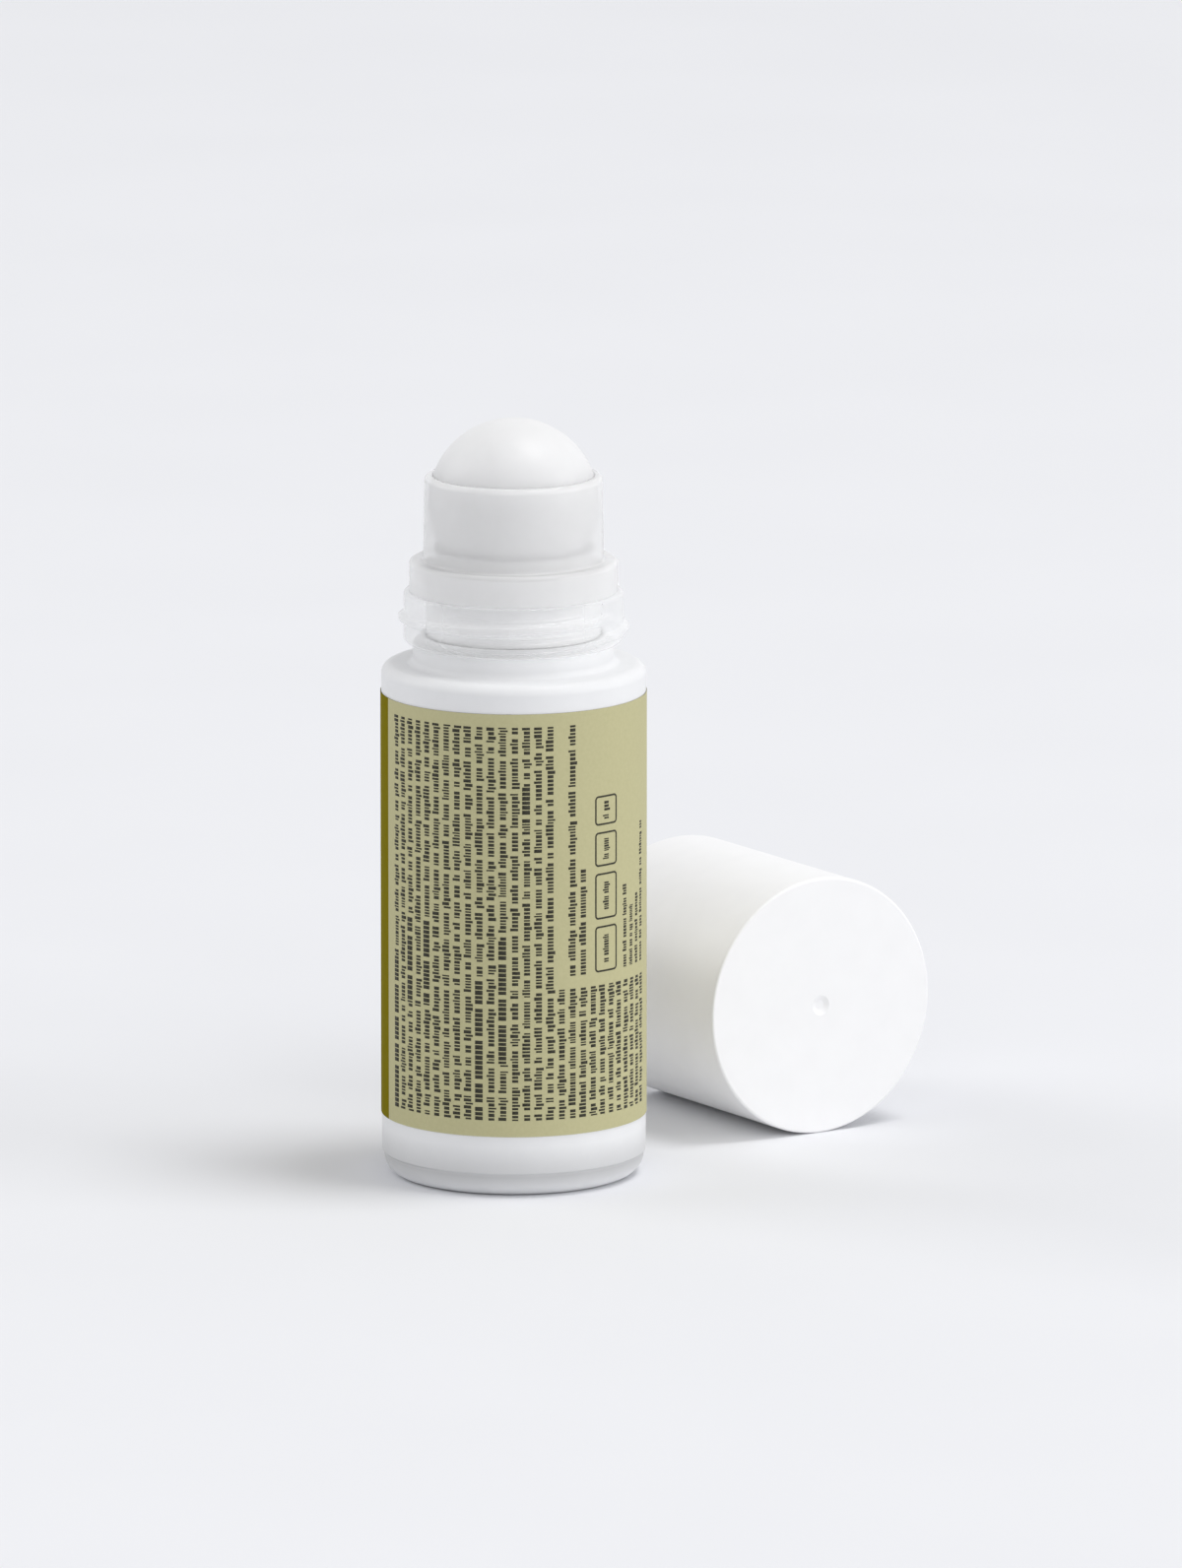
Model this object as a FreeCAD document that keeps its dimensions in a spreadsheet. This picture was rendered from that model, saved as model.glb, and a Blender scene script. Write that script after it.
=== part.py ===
import FreeCAD, Part
import math
import os

import Sketcher

# Roll-on bottle, standing on its base, with its screw cap taken off and lying beside it.
# Origin at the centre of the base, +Z up along the bottle, the cap's axis along Y. Millimetres and degrees.

SIZES = {
    # Ball and the moulded housing that holds it
    "ball_diameter": 24.4,
    "ball_wall": 1.5,
    "socket_clearance": 0.12,
    "cup_wall": 0.5,
    "cup_draft": 0.14,
    "rim_rise": 4.1,
    "rim_round": 0.9,
    "bowl_wall": 0.8,
    "bowl_rise": 0.38,
    "feed_diameter": 8.0,
    "collar_step": 2.04,
    "collar_height": 4.55,
    "collar_wall": 0.9,
    "collar_roof": 1.0,
    "collar_edge_round": 0.7,
    "cup_foot_round": 0.4,
    "plug_length": 7.0,
    "plug_wall": 1.0,
    "plug_clearance": 0.12,
    "plug_lead_in": 0.4,
    "seal_rib_radius": 0.45,
    "seal_rib_proud": 0.1,
    # Glass neck and body
    "lip_ledge": 0.8,
    "lip_round": 0.5,
    "neck_wall": 3.2,
    "neck_height": 10.5,
    "neck_root_depth": 1.4,
    "neck_root_height": 3.1,
    "neck_bead_round": 0.9,
    "neck_cove_round": 1.0,
    "shoulder_ledge": 3.2,
    "shoulder_round": 1.6,
    "shoulder_wall": 2.6,
    "body_height": 74.7,
    "body_wall": 2.2,
    "base_thickness": 5.0,
    "base_push_up": 1.0,
    "bearing_width": 1.6,
    "heel_round": 3.4,
    "cavity_round": 1.8,
    # Label
    "label_thickness": 0.12,
    "label_glue": 0.02,
    "label_foot_margin": 5.65,
    "label_head_margin": 2.45,
    "label_seam_gap": 2.0,
    "label_seam_angle": -12.8,
    # Screw cap and the place where it lies
    "cap_diameter": 37.8,
    "cap_wall": 1.7,
    "cap_roof": 1.8,
    "cap_edge_round": 0.4,
    "cap_mouth_lead_in": 0.6,
    "cap_shoulder_gap": 0.8,
    "cap_headroom": 0.9,
    "press_ring_diameter": 14.0,
    "press_ring_wall": 1.0,
    "gate_dimple_diameter": 2.9,
    "gate_dimple_depth": 0.4,
    "cap_stand_off": 13.5,
    "cap_forward": 2.6,
    # Margin by which a cut runs past the face it opens
    "overrun": 1.0,
}

SEAL_RIB_PLACE_SHARES = (0.35, 0.7)     # places of the seal ribs down the plug
FILLET_LEDGE_SHARE = 0.4                # most of a ledge that one rounded edge may take
GATE_FLOOR_SHARE = 0.5                  # flat floor of the gate dimple, of its width
MATCH_TOLERANCE = 1e-5                  # how closely an edge has to match the ring that it is picked by

# How a sketch numbers its axes and the points of a run
BASE_LINE_INDEX = -1
AXIS_INDEX = -2
START_INDEX = 1
END_INDEX = 2
CENTRE_INDEX = 3
ORIGIN = (BASE_LINE_INDEX, START_INDEX)
SKETCH_NORMAL = FreeCAD.Vector(0, 0, 1)
UPRIGHT = FreeCAD.Vector(0, 0, 1)
ACROSS = FreeCAD.Vector(1, 0, 0)
QUARTER_TURN_ANGLE = 90
FULL_TURN_ANGLE = 360


class Length:
    """A length: its value, and the sheet formula that gives it."""

    def __init__(self, value, formula):
        self.value = value
        self.formula = formula

    def __add__(self, other):
        return Length(self.value + other.value, f"({self.formula} + {other.formula})")

    def __sub__(self, other):
        return Length(self.value - other.value, f"({self.formula} - {other.formula})")

    def __mul__(self, factor):
        return Length(self.value * factor, f"({self.formula} * {factor})")

    def half(self):
        return Length(self.value / 2, f"({self.formula} / 2)")


def leg(hypotenuse, other_leg):
    """The third side of a right triangle, such as a ball's radius at some height off its centre."""
    value = math.sqrt(hypotenuse.value ** 2 - other_leg.value ** 2)
    return Length(value, f"sqrt({hypotenuse.formula} ^ 2 - {other_leg.formula} ^ 2)")


def at_most(length, limit):
    """A length, limited by the wall or ledge that carries it."""
    return Length(min(length.value, limit.value), f"min({length.formula}; {limit.formula})")


ZERO = Length(0, "0")

doc = FreeCAD.newDocument("roll_on_bottle")
sheet = doc.addObject("Spreadsheet::Sheet", "Sizes")
for row, (alias, number) in enumerate(SIZES.items(), start=1):
    sheet.set(f"A{row}", alias.replace("_", " "))
    sheet.set(f"B{row}", str(number))
    sheet.setAlias(f"B{row}", alias)
doc.recompute()


def size(alias):
    return Length(float(sheet.get(alias)), f"Sizes.{alias}")


# Radii, from the ball outwards
ball_radius = size("ball_diameter").half()
socket_radius = ball_radius + size("socket_clearance")
bowl_radius = socket_radius + size("bowl_wall")
cup_rim_radius = socket_radius + size("cup_wall")
cup_foot_radius = cup_rim_radius + size("cup_draft")
collar_radius = cup_foot_radius + size("collar_step")
neck_radius = collar_radius + size("lip_ledge")
neck_root_radius = neck_radius - size("neck_root_depth")
bore_radius = neck_radius - size("neck_wall")
plug_radius = bore_radius - size("plug_clearance")
plug_bore_radius = plug_radius - size("plug_wall")
body_radius = neck_radius + size("shoulder_ledge")
cavity_radius = body_radius - size("body_wall")
bearing_radius = body_radius - size("heel_round") - size("bearing_width")
label_inner_radius = body_radius + size("label_glue")
label_outer_radius = label_inner_radius + size("label_thickness")
cap_radius = size("cap_diameter").half()
cap_bore_radius = cap_radius - size("cap_wall")
press_ring_radius = size("press_ring_diameter").half()
press_ring_bore_radius = press_ring_radius - size("press_ring_wall")
feed_radius = size("feed_diameter").half()

# Heights, from the base upwards
shoulder_height = size("body_height")
ceiling_height = shoulder_height - size("shoulder_wall")
neck_bead_height = shoulder_height + size("neck_root_height")
lip_height = shoulder_height + size("neck_height")
plug_foot_height = lip_height - size("plug_length")
collar_top_height = lip_height + size("collar_height")
ball_height = lip_height + size("bowl_rise") + socket_radius
rim_height = ball_height + size("rim_rise")
ball_top_height = ball_height + ball_radius
label_foot_height = size("heel_round") + size("label_foot_margin")
label_head_height = shoulder_height - size("shoulder_round") - size("label_head_margin")

# The cap covers everything from just above the shoulder to the roof over the ball
closed_cap_foot = shoulder_height + size("cap_shoulder_gap")
closed_cap_ceiling = ball_top_height + size("cap_headroom")
cap_ceiling_height = closed_cap_ceiling - closed_cap_foot
cap_length = cap_ceiling_height + size("cap_roof")


def new_body(label):
    """An empty sub-part with its own label."""
    body = doc.addObject("PartDesign::Body", label)
    body.Label = label
    return body


def new_sketch(body, name):
    """A sketch on the body's own XZ plane: radius across, height up."""
    sketch = body.newObject("Sketcher::SketchObject", name)
    plane = next(item for item in body.Origin.OriginFeatures if item.Role == "XZ_Plane")
    sketch.AttachmentSupport = (plane, [""])
    sketch.MapMode = "FlatFace"
    return sketch


def hold(sketch, kind, geometry, end, length, name):
    """Hold a point of the sketch at a distance from the origin, bound to the sheet."""
    constraint = Sketcher.Constraint(kind, *ORIGIN, geometry, end, length.value)
    sketch.renameConstraint(sketch.addConstraint(constraint), name)
    sketch.setExpression(f"Constraints.{name}", length.formula)


def place_point(sketch, geometry, end, radius, height, name):
    """Fix a point by its radius and height, or on the axis or the base line where they are zero."""
    if radius is ZERO:
        sketch.addConstraint(Sketcher.Constraint("PointOnObject", geometry, end, AXIS_INDEX))
    else:
        hold(sketch, "DistanceX", geometry, end, radius, f"{name}_radius")
    if height is ZERO:
        sketch.addConstraint(Sketcher.Constraint("PointOnObject", geometry, end, BASE_LINE_INDEX))
    else:
        hold(sketch, "DistanceY", geometry, end, height, f"{name}_height")


def centre_on_axis(start, finish):
    """Height of the centre, on the axis, of the circle through two points."""
    rise = finish.y - start.y
    return (finish.x ** 2 - start.x ** 2 + finish.y ** 2 - start.y ** 2) / (2 * rise)


def round_run(start, finish):
    """The shorter arc between two points about a centre on the axis, and whether it runs from start."""
    centre = FreeCAD.Vector(0, centre_on_axis(start, finish), 0)
    circle = Part.Circle(centre, SKETCH_NORMAL, (start - centre).Length)
    angles = [math.atan2(point.y - centre.y, point.x - centre.x) for point in (start, finish)]
    return Part.ArcOfCircle(circle, min(angles), max(angles)), angles[0] < angles[1]


def draw_outline(body, name, corners, round_runs=()):
    """A closed outline through the corners; the runs numbered in round_runs are arcs centred on the axis."""
    sketch = new_sketch(body, name)
    points = [FreeCAD.Vector(radius.value, height.value, 0) for radius, height in corners]
    ends = []
    for index, start in enumerate(points):
        finish = points[(index + 1) % len(points)]
        run, forward = Part.LineSegment(start, finish), True
        if index in round_runs:
            run, forward = round_run(start, finish)
        sketch.addGeometry(run, False)
        ends.append((START_INDEX, END_INDEX) if forward else (END_INDEX, START_INDEX))
    for index, (radius, height) in enumerate(corners):
        before = (index - 1) % len(corners)
        first, last = ends[index][0], ends[before][1]
        sketch.addConstraint(Sketcher.Constraint("Coincident", before, last, index, first))
        place_point(sketch, index, first, radius, height, f"corner_{index}")
    for index in round_runs:
        sketch.addConstraint(Sketcher.Constraint("PointOnObject", index, CENTRE_INDEX, AXIS_INDEX))
    return sketch


def draw_circle(body, name, radius, height, wire_radius):
    """A round section at a radius and height."""
    sketch = new_sketch(body, name)
    centre = FreeCAD.Vector(radius.value, height.value, 0)
    sketch.addGeometry(Part.Circle(centre, SKETCH_NORMAL, wire_radius.value), False)
    place_point(sketch, 0, CENTRE_INDEX, radius, height, "centre")
    constraint = Sketcher.Constraint("Radius", 0, wire_radius.value)
    sketch.renameConstraint(sketch.addConstraint(constraint), "wire_radius")
    sketch.setExpression("Constraints.wire_radius", wire_radius.formula)
    return sketch


def turn(body, kind, name, sketch):
    """Turn a sketch round the axis: a Revolution adds, a Groove cuts."""
    feature = body.newObject(f"PartDesign::{kind}", name)
    feature.Profile = sketch
    feature.ReferenceAxis = (sketch, ["V_Axis"])
    doc.recompute()
    return feature


def ring_edges(feature, rings):
    """Names of the feature's round edges at the given radii and heights."""
    names = []
    for radius, height in rings:
        for number, edge in enumerate(feature.Shape.Edges, start=1):
            if edge.Degenerated or not isinstance(edge.Curve, Part.Circle):
                continue
            off = abs(edge.Curve.Radius - radius.value) + abs(edge.Curve.Center.z - height.value)
            if off < MATCH_TOLERANCE:
                names.append(f"Edge{number}")
    if len(names) != len(rings):
        raise RuntimeError(f"{feature.Name}: {len(rings)} rings asked for, {len(names)} edges found")
    return names


def dress_edges(body, kind, name, length, rings):
    """Round or bevel the body's round edges at the given radii and heights."""
    base = body.Tip
    feature = body.newObject(f"PartDesign::{kind}", name)
    feature.Base = (base, ring_edges(base, rings))
    feature.setExpression("Radius" if kind == "Fillet" else "Size", length.formula)
    doc.recompute()
    return feature


def make_glass_bottle():
    """Straight glass body with a rounded heel and shoulder, a thick base and a plain neck finish."""
    body = new_body("glass_bottle")
    outside = draw_outline(body, "bottle_outline", [
        (ZERO, size("base_push_up")),
        (bearing_radius, ZERO),
        (body_radius, ZERO),
        (body_radius, shoulder_height),
        (neck_root_radius, shoulder_height),
        (neck_root_radius, neck_bead_height),
        (neck_radius, neck_bead_height),
        (neck_radius, lip_height),
        (ZERO, lip_height),
    ], round_runs=(0,))
    turn(body, "Revolution", "bottle_form", outside)
    inside = draw_outline(body, "cavity_outline", [
        (ZERO, size("base_thickness")),
        (cavity_radius, size("base_thickness")),
        (cavity_radius, ceiling_height),
        (bore_radius, ceiling_height),
        (bore_radius, lip_height + size("overrun")),
        (ZERO, lip_height + size("overrun")),
    ])
    turn(body, "Groove", "cavity", inside)
    inner_round = at_most(size("cavity_round"), (cavity_radius - bore_radius) * FILLET_LEDGE_SHARE)
    dress_edges(body, "Fillet", "cavity_rounds", inner_round, [
        (cavity_radius, size("base_thickness")),
        (cavity_radius, ceiling_height),
        (bore_radius, ceiling_height),
    ])
    dress_edges(body, "Fillet", "heel", size("heel_round"), [(body_radius, ZERO)])
    dress_edges(body, "Fillet", "shoulder", size("shoulder_round"), [(body_radius, shoulder_height)])
    dress_edges(body, "Fillet", "neck_cove", size("neck_cove_round"), [(neck_root_radius, shoulder_height)])
    dress_edges(body, "Fillet", "neck_bead", size("neck_bead_round"), [(neck_radius, neck_bead_height)])
    dress_edges(body, "Fillet", "lip", size("lip_round"), [
        (neck_radius, lip_height),
        (bore_radius, lip_height),
    ])
    return body


def make_ball_housing():
    """Moulded fitment: ribbed plug in the neck bore, cored collar on the lip, thin cup with a ball socket."""
    body = new_body("ball_housing")
    outside = draw_outline(body, "housing_outline", [
        (ZERO, plug_foot_height),
        (plug_radius, plug_foot_height),
        (plug_radius, lip_height),
        (collar_radius, lip_height),
        (collar_radius, collar_top_height),
        (cup_foot_radius, collar_top_height),
        (cup_rim_radius, rim_height),
        (ZERO, rim_height),
    ])
    turn(body, "Revolution", "housing_form", outside)
    dress_edges(body, "Fillet", "rim", size("rim_round"), [(cup_rim_radius, rim_height)])
    dress_edges(body, "Fillet", "collar_edge", size("collar_edge_round"), [(collar_radius, collar_top_height)])
    dress_edges(body, "Fillet", "cup_foot", size("cup_foot_round"), [(cup_foot_radius, collar_top_height)])
    dress_edges(body, "Chamfer", "plug_lead_in", size("plug_lead_in"), [(plug_radius, plug_foot_height)])
    for number, share in enumerate(SEAL_RIB_PLACE_SHARES, start=1):
        rib = draw_circle(
            body,
            f"seal_rib_section_{number}",
            plug_radius + size("seal_rib_proud") - size("seal_rib_radius"),
            lip_height - size("plug_length") * share,
            size("seal_rib_radius"),
        )
        turn(body, "Revolution", f"seal_rib_{number}", rib)
    socket = draw_outline(body, "socket_outline", [
        (ZERO, ball_height - socket_radius),
        (leg(socket_radius, size("rim_rise")), rim_height),
        (leg(socket_radius, size("rim_rise")), rim_height + size("overrun")),
        (ZERO, rim_height + size("overrun")),
    ], round_runs=(0,))
    turn(body, "Groove", "socket", socket)
    underside = draw_outline(body, "plug_bore_outline", [
        (ZERO, plug_foot_height - size("overrun")),
        (plug_bore_radius, plug_foot_height - size("overrun")),
        (plug_bore_radius, ball_height - leg(bowl_radius, plug_bore_radius)),
        (ZERO, ball_height - bowl_radius),
    ], round_runs=(2,))
    turn(body, "Groove", "plug_bore", underside)
    feed = draw_outline(body, "feed_outline", [
        (ZERO, plug_foot_height),
        (feed_radius, plug_foot_height),
        (feed_radius, ball_height),
        (ZERO, ball_height),
    ])
    turn(body, "Groove", "feed_hole", feed)
    core = draw_outline(body, "collar_core_outline", [
        (cup_foot_radius, lip_height - size("overrun")),
        (collar_radius - size("collar_wall"), lip_height - size("overrun")),
        (collar_radius - size("collar_wall"), collar_top_height - size("collar_roof")),
        (cup_foot_radius, collar_top_height - size("collar_roof")),
    ])
    turn(body, "Groove", "collar_core", core)
    return body


def make_roller_ball():
    """Hollow ball, free in its socket."""
    body = new_body("roller_ball")
    section = draw_outline(body, "ball_outline", [
        (ZERO, ball_height - ball_radius),
        (ZERO, ball_height + ball_radius),
        (ZERO, ball_height + ball_radius - size("ball_wall")),
        (ZERO, ball_height - ball_radius + size("ball_wall")),
    ], round_runs=(0, 2))
    turn(body, "Revolution", "ball_form", section)
    return body


def make_wrap_label():
    """Thin label wrapped round the body, with a narrow gap where its ends meet."""
    body = new_body("wrap_label")
    section = draw_outline(body, "label_outline", [
        (label_inner_radius, label_foot_height),
        (label_outer_radius, label_foot_height),
        (label_outer_radius, label_head_height),
        (label_inner_radius, label_head_height),
    ])
    wrap = turn(body, "Revolution", "label_wrap", section)
    gap_turns = f"{size('label_seam_gap').formula} / (2 * pi * {label_outer_radius.formula})"
    wrap.setExpression("Angle", f"{FULL_TURN_ANGLE} * (1 - {gap_turns})")
    body.Placement = FreeCAD.Placement(FreeCAD.Vector(), FreeCAD.Rotation(UPRIGHT, QUARTER_TURN_ANGLE))
    seam_edge_angle = f"{size('label_seam_angle').formula} + {FULL_TURN_ANGLE} * {gap_turns} / 2"
    body.setExpression("Placement.Rotation.Angle", seam_edge_angle)
    doc.recompute()
    return body


def make_screw_cap():
    """Thin moulded cap, lying on its side, with a ring inside for the ball and a gate mark on its roof."""
    body = new_body("screw_cap")
    gate_radius = size("gate_dimple_diameter").half()
    outside = draw_outline(body, "cap_outline", [
        (ZERO, ZERO),
        (cap_radius, ZERO),
        (cap_radius, cap_length),
        (gate_radius, cap_length),
        (gate_radius * GATE_FLOOR_SHARE, cap_length - size("gate_dimple_depth")),
        (ZERO, cap_length - size("gate_dimple_depth")),
    ])
    turn(body, "Revolution", "cap_form", outside)
    press_depth = size("cap_headroom") + ball_radius - leg(ball_radius, press_ring_radius)
    inside = draw_outline(body, "cap_cavity_outline", [
        (ZERO, ZERO - size("overrun")),
        (cap_bore_radius, ZERO - size("overrun")),
        (cap_bore_radius, cap_ceiling_height),
        (press_ring_radius, cap_ceiling_height),
        (press_ring_radius, cap_ceiling_height - press_depth),
        (press_ring_bore_radius, cap_ceiling_height - press_depth),
        (press_ring_bore_radius, cap_ceiling_height),
        (ZERO, cap_ceiling_height),
    ])
    turn(body, "Groove", "cap_cavity", inside)
    dress_edges(body, "Fillet", "cap_edge", size("cap_edge_round"), [(cap_radius, cap_length)])
    dress_edges(body, "Chamfer", "mouth_lead_in", size("cap_mouth_lead_in"), [(cap_bore_radius, ZERO)])
    body.Placement = FreeCAD.Placement(FreeCAD.Vector(), FreeCAD.Rotation(ACROSS, QUARTER_TURN_ANGLE))
    body.setExpression("Placement.Base.x", (body_radius + size("cap_stand_off") + cap_radius).formula)
    body.setExpression("Placement.Base.y", (cap_length - size("cap_forward")).formula)
    body.setExpression("Placement.Base.z", cap_radius.formula)
    doc.recompute()
    return body


def check(bodies):
    """Stop if anything failed to build or a sub-part isn't one valid solid."""
    failed = [item.Name for item in doc.Objects if {"Invalid", "Error"} & set(item.State)]
    if failed:
        raise RuntimeError(f"failed to build: {', '.join(failed)}")
    for body in bodies:
        if body.Shape.isNull() or not body.Shape.isValid() or len(body.Shape.Solids) != 1:
            raise RuntimeError(f"{body.Label} isn't one valid solid")


sub_parts = [
    make_glass_bottle(),
    make_ball_housing(),
    make_roller_ball(),
    make_wrap_label(),
    make_screw_cap(),
]
doc.recompute()
check(sub_parts)
os.makedirs("parts", exist_ok=True)
for sub_part in sub_parts:
    sub_part.Shape.exportStep(f"parts/{sub_part.Label}.step")
    box = sub_part.Shape.optimalBoundingBox(False)
    low = f"{box.XMin:.2f} {box.YMin:.2f} {box.ZMin:.2f}"
    high = f"{box.XMax:.2f} {box.YMax:.2f} {box.ZMax:.2f}"
    print(f"{sub_part.Label}: {sub_part.Shape.Volume:.1f} mm3, from {low} to {high}")
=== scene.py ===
"""Roll-on bottle: frosted glass with a clear neck, ball in its housing, wrap label and loose cap."""

import math
import random
from collections import namedtuple

import bpy
from mathutils import Matrix, Vector


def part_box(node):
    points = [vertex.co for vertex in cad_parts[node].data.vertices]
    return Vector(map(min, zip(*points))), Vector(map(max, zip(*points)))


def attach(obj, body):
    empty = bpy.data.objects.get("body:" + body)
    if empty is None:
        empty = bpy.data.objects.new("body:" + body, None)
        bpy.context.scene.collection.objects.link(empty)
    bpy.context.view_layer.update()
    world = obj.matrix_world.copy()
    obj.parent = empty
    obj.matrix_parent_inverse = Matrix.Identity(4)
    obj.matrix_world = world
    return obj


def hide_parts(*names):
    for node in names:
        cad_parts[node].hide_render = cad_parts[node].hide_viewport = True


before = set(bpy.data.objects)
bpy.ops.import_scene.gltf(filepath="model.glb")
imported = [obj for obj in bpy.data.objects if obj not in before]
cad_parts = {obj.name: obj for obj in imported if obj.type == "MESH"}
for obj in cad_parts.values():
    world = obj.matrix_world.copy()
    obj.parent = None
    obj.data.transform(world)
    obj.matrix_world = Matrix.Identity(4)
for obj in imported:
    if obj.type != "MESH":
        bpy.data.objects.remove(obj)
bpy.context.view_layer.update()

MM = 0.001
TURN = 2 * math.pi

# Read from the frame
bottle_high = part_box("glass_bottle")[1]
housing_low, housing_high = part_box("ball_housing")
ball_low, ball_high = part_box("roller_ball")
label_low, label_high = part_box("wrap_label")
cap_low, cap_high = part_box("screw_cap")

BODY_RADIUS = bottle_high.x
LIP_HEIGHT = bottle_high.z
PLUG_FOOT = housing_low.z
COLLAR_RADIUS = housing_high.x
RIM_HEIGHT = housing_high.z
BALL_RADIUS = (ball_high.z - ball_low.z) / 2
BALL_HEIGHT = (ball_high.z + ball_low.z) / 2
LABEL_RADIUS = label_high.y
LABEL_FOOT = label_low.z
LABEL_HEAD = label_high.z
CAP_RADIUS = (cap_high.z - cap_low.z) / 2
CAP_LENGTH = cap_high.y - cap_low.y
CAP_MOUTH = Vector(((cap_low.x + cap_high.x) / 2, cap_high.y, (cap_low.z + cap_high.z) / 2))

# View of the photograph
CAMERA_AZIMUTH = math.radians(-32.84)
CAMERA_DISTANCE = 2.7809
CAMERA_HEIGHT = 0.6081
CAMERA_LENS = 453.3
AIM_RIGHT = 0.0111
AIM_HEIGHT = 0.0568
FRONT_ANGLE = CAMERA_AZIMUTH - TURN / 4

# Fineness of the meshes
SEGMENTS = 192
ROUND_STEPS = 8
PUSH_UP_STEPS = 6
SEAL_RIB_STEPS = 6
SOCKET_STEPS = 40
BOWL_STEPS = 16
BALL_STEPS = 96
LABEL_STEPS = 120
FRAME_STEPS = 7
THREAD_STEP = 0.12 * MM
NORMAL_WEIGHT = 90

# Threads, which run out over a share of a turn
RUN_OUT_SHARE = 0.07

# Glass
HEEL_ROUND = 3.0 * MM
HEEL_STEP = 0.3 * MM
HEEL_STEP_HEIGHT = 3.3 * MM
HEEL_STEP_ROUND = 0.15 * MM
SHOULDER_DROP = 10.5 * MM
SHOULDER_ROUND = 1.6 * MM
COVE_ROUND = 1.0 * MM
NECK_RADIUS = 15.8 * MM
NECK_ROOT_RADIUS = 14.4 * MM
BEAD_DROP = 7.4 * MM
BEAD_ROUND = 0.9 * MM
LIP_ROUND = 0.5 * MM
BORE_RADIUS = 12.6 * MM
CAVITY_RADIUS = 16.8 * MM
CAVITY_FLOOR = 5.0 * MM
CAVITY_ROUND = 1.68 * MM
CAVITY_ROOF = 2.6 * MM
PUSH_UP = 1.0 * MM
BEARING_RADIUS = 14.0 * MM
FROST_GAP = 0.02 * MM
FROST_RIM_RADIUS = 13.3 * MM
FROST_RIM_RISE = 0.7 * MM
NECK_THREAD_DROP = 2.6 * MM
NECK_THREAD_ANGLE = math.radians(65)
NECK_THREAD_PITCH = 2.8 * MM
NECK_THREAD_TURNS = 1.3
NECK_THREAD_PROUD = 0.75 * MM
NECK_THREAD_WIDTH = 1.9 * MM
NECK_THREAD_FLANK = 0.7 * MM
SHOULDER_HEIGHT = LIP_HEIGHT - SHOULDER_DROP
BEAD_HEIGHT = LIP_HEIGHT - BEAD_DROP
CAVITY_CEILING = SHOULDER_HEIGHT - CAVITY_ROOF
FROST_RIM_HEIGHT = PLUG_FOOT + FROST_RIM_RISE

# Housing
PLUG_RADIUS = 12.48 * MM
PLUG_BORE_RADIUS = 11.48 * MM
PLUG_LEAD_IN = 0.4 * MM
SEAL_RIB_DROPS = (4.9 * MM, 2.45 * MM)
SEAL_RIB_PROUD = 0.1 * MM
SEAL_RIB_REACH = 0.3 * MM
CUP_FOOT_RADIUS = 12.96 * MM
CUP_FOOT_ROUND = 0.4 * MM
CUP_RIM_RADIUS = 12.82 * MM
CUP_RIM_ROUND = 0.9 * MM
CORE_RADIUS = 14.1 * MM
CORE_RISE = 3.55 * MM
CORE_ROOF_ROUND = 0.2 * MM
CORE_MOUTH_ROUND = 0.1 * MM
COLLAR_RISE = 4.55 * MM
COLLAR_ROUND = 0.7 * MM
COLLAR_FOOT_ROUND = 0.15 * MM
SOCKET_CLEARANCE = 0.12 * MM
BOWL_WALL = 0.8 * MM
FEED_RADIUS = 4.0 * MM
CORE_ROOF = LIP_HEIGHT + CORE_RISE
COLLAR_TOP = LIP_HEIGHT + COLLAR_RISE
SOCKET_RADIUS = BALL_RADIUS + SOCKET_CLEARANCE
BOWL_RADIUS = SOCKET_RADIUS + BOWL_WALL

# Cap
CAP_WALL = 1.7 * MM
CAP_ROOF = 1.8 * MM
CAP_EDGE_ROUND = 0.4 * MM
CAP_MOUTH_ROUND = 0.3 * MM
CAP_CEILING_ROUND = 0.6 * MM
CAP_THREAD_TOP = 7.6 * MM
CAP_THREAD_ZONE = 9.0 * MM
CAP_THREAD_ANGLE = 0.5
CAP_THREAD_PITCH = 2.9 * MM
CAP_THREAD_TURNS = 1.6
CAP_THREAD_PROUD = 0.9 * MM
CAP_THREAD_WIDTH = 1.6 * MM
CAP_THREAD_FLANK = 0.6 * MM
PRESS_RING_RADIUS = 7.0 * MM
PRESS_RING_WALL = 1.0 * MM
PRESS_RING_DEPTH = 3.1 * MM
PRESS_RING_ROUND = 0.2 * MM
PRESS_RING_ROOT_ROUND = 0.3 * MM
GATE_RADIUS = 1.45 * MM
GATE_FLOOR_RADIUS = 0.72 * MM
GATE_DEPTH = 0.4 * MM
GATE_ROUND = 0.2 * MM
CAP_BORE_RADIUS = CAP_RADIUS - CAP_WALL
CAP_CEILING = CAP_LENGTH - CAP_ROOF
PRESS_RING_BORE_RADIUS = PRESS_RING_RADIUS - PRESS_RING_WALL
PRESS_RING_EDGE = CAP_CEILING - PRESS_RING_DEPTH

# Label
LABEL_THICKNESS = 0.1 * MM
PRINT_PROUD = 0.02 * MM
SEAM_ANGLE = FRONT_ANGLE + math.radians(110)
SEAM_GAP = 2.0 * MM
PANEL_ANGLE = FRONT_ANGLE - math.radians(70)
SHEET_RADIUS = LABEL_RADIUS - PRINT_PROUD
SHEET_BACK_RADIUS = SHEET_RADIUS - LABEL_THICKNESS

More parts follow.
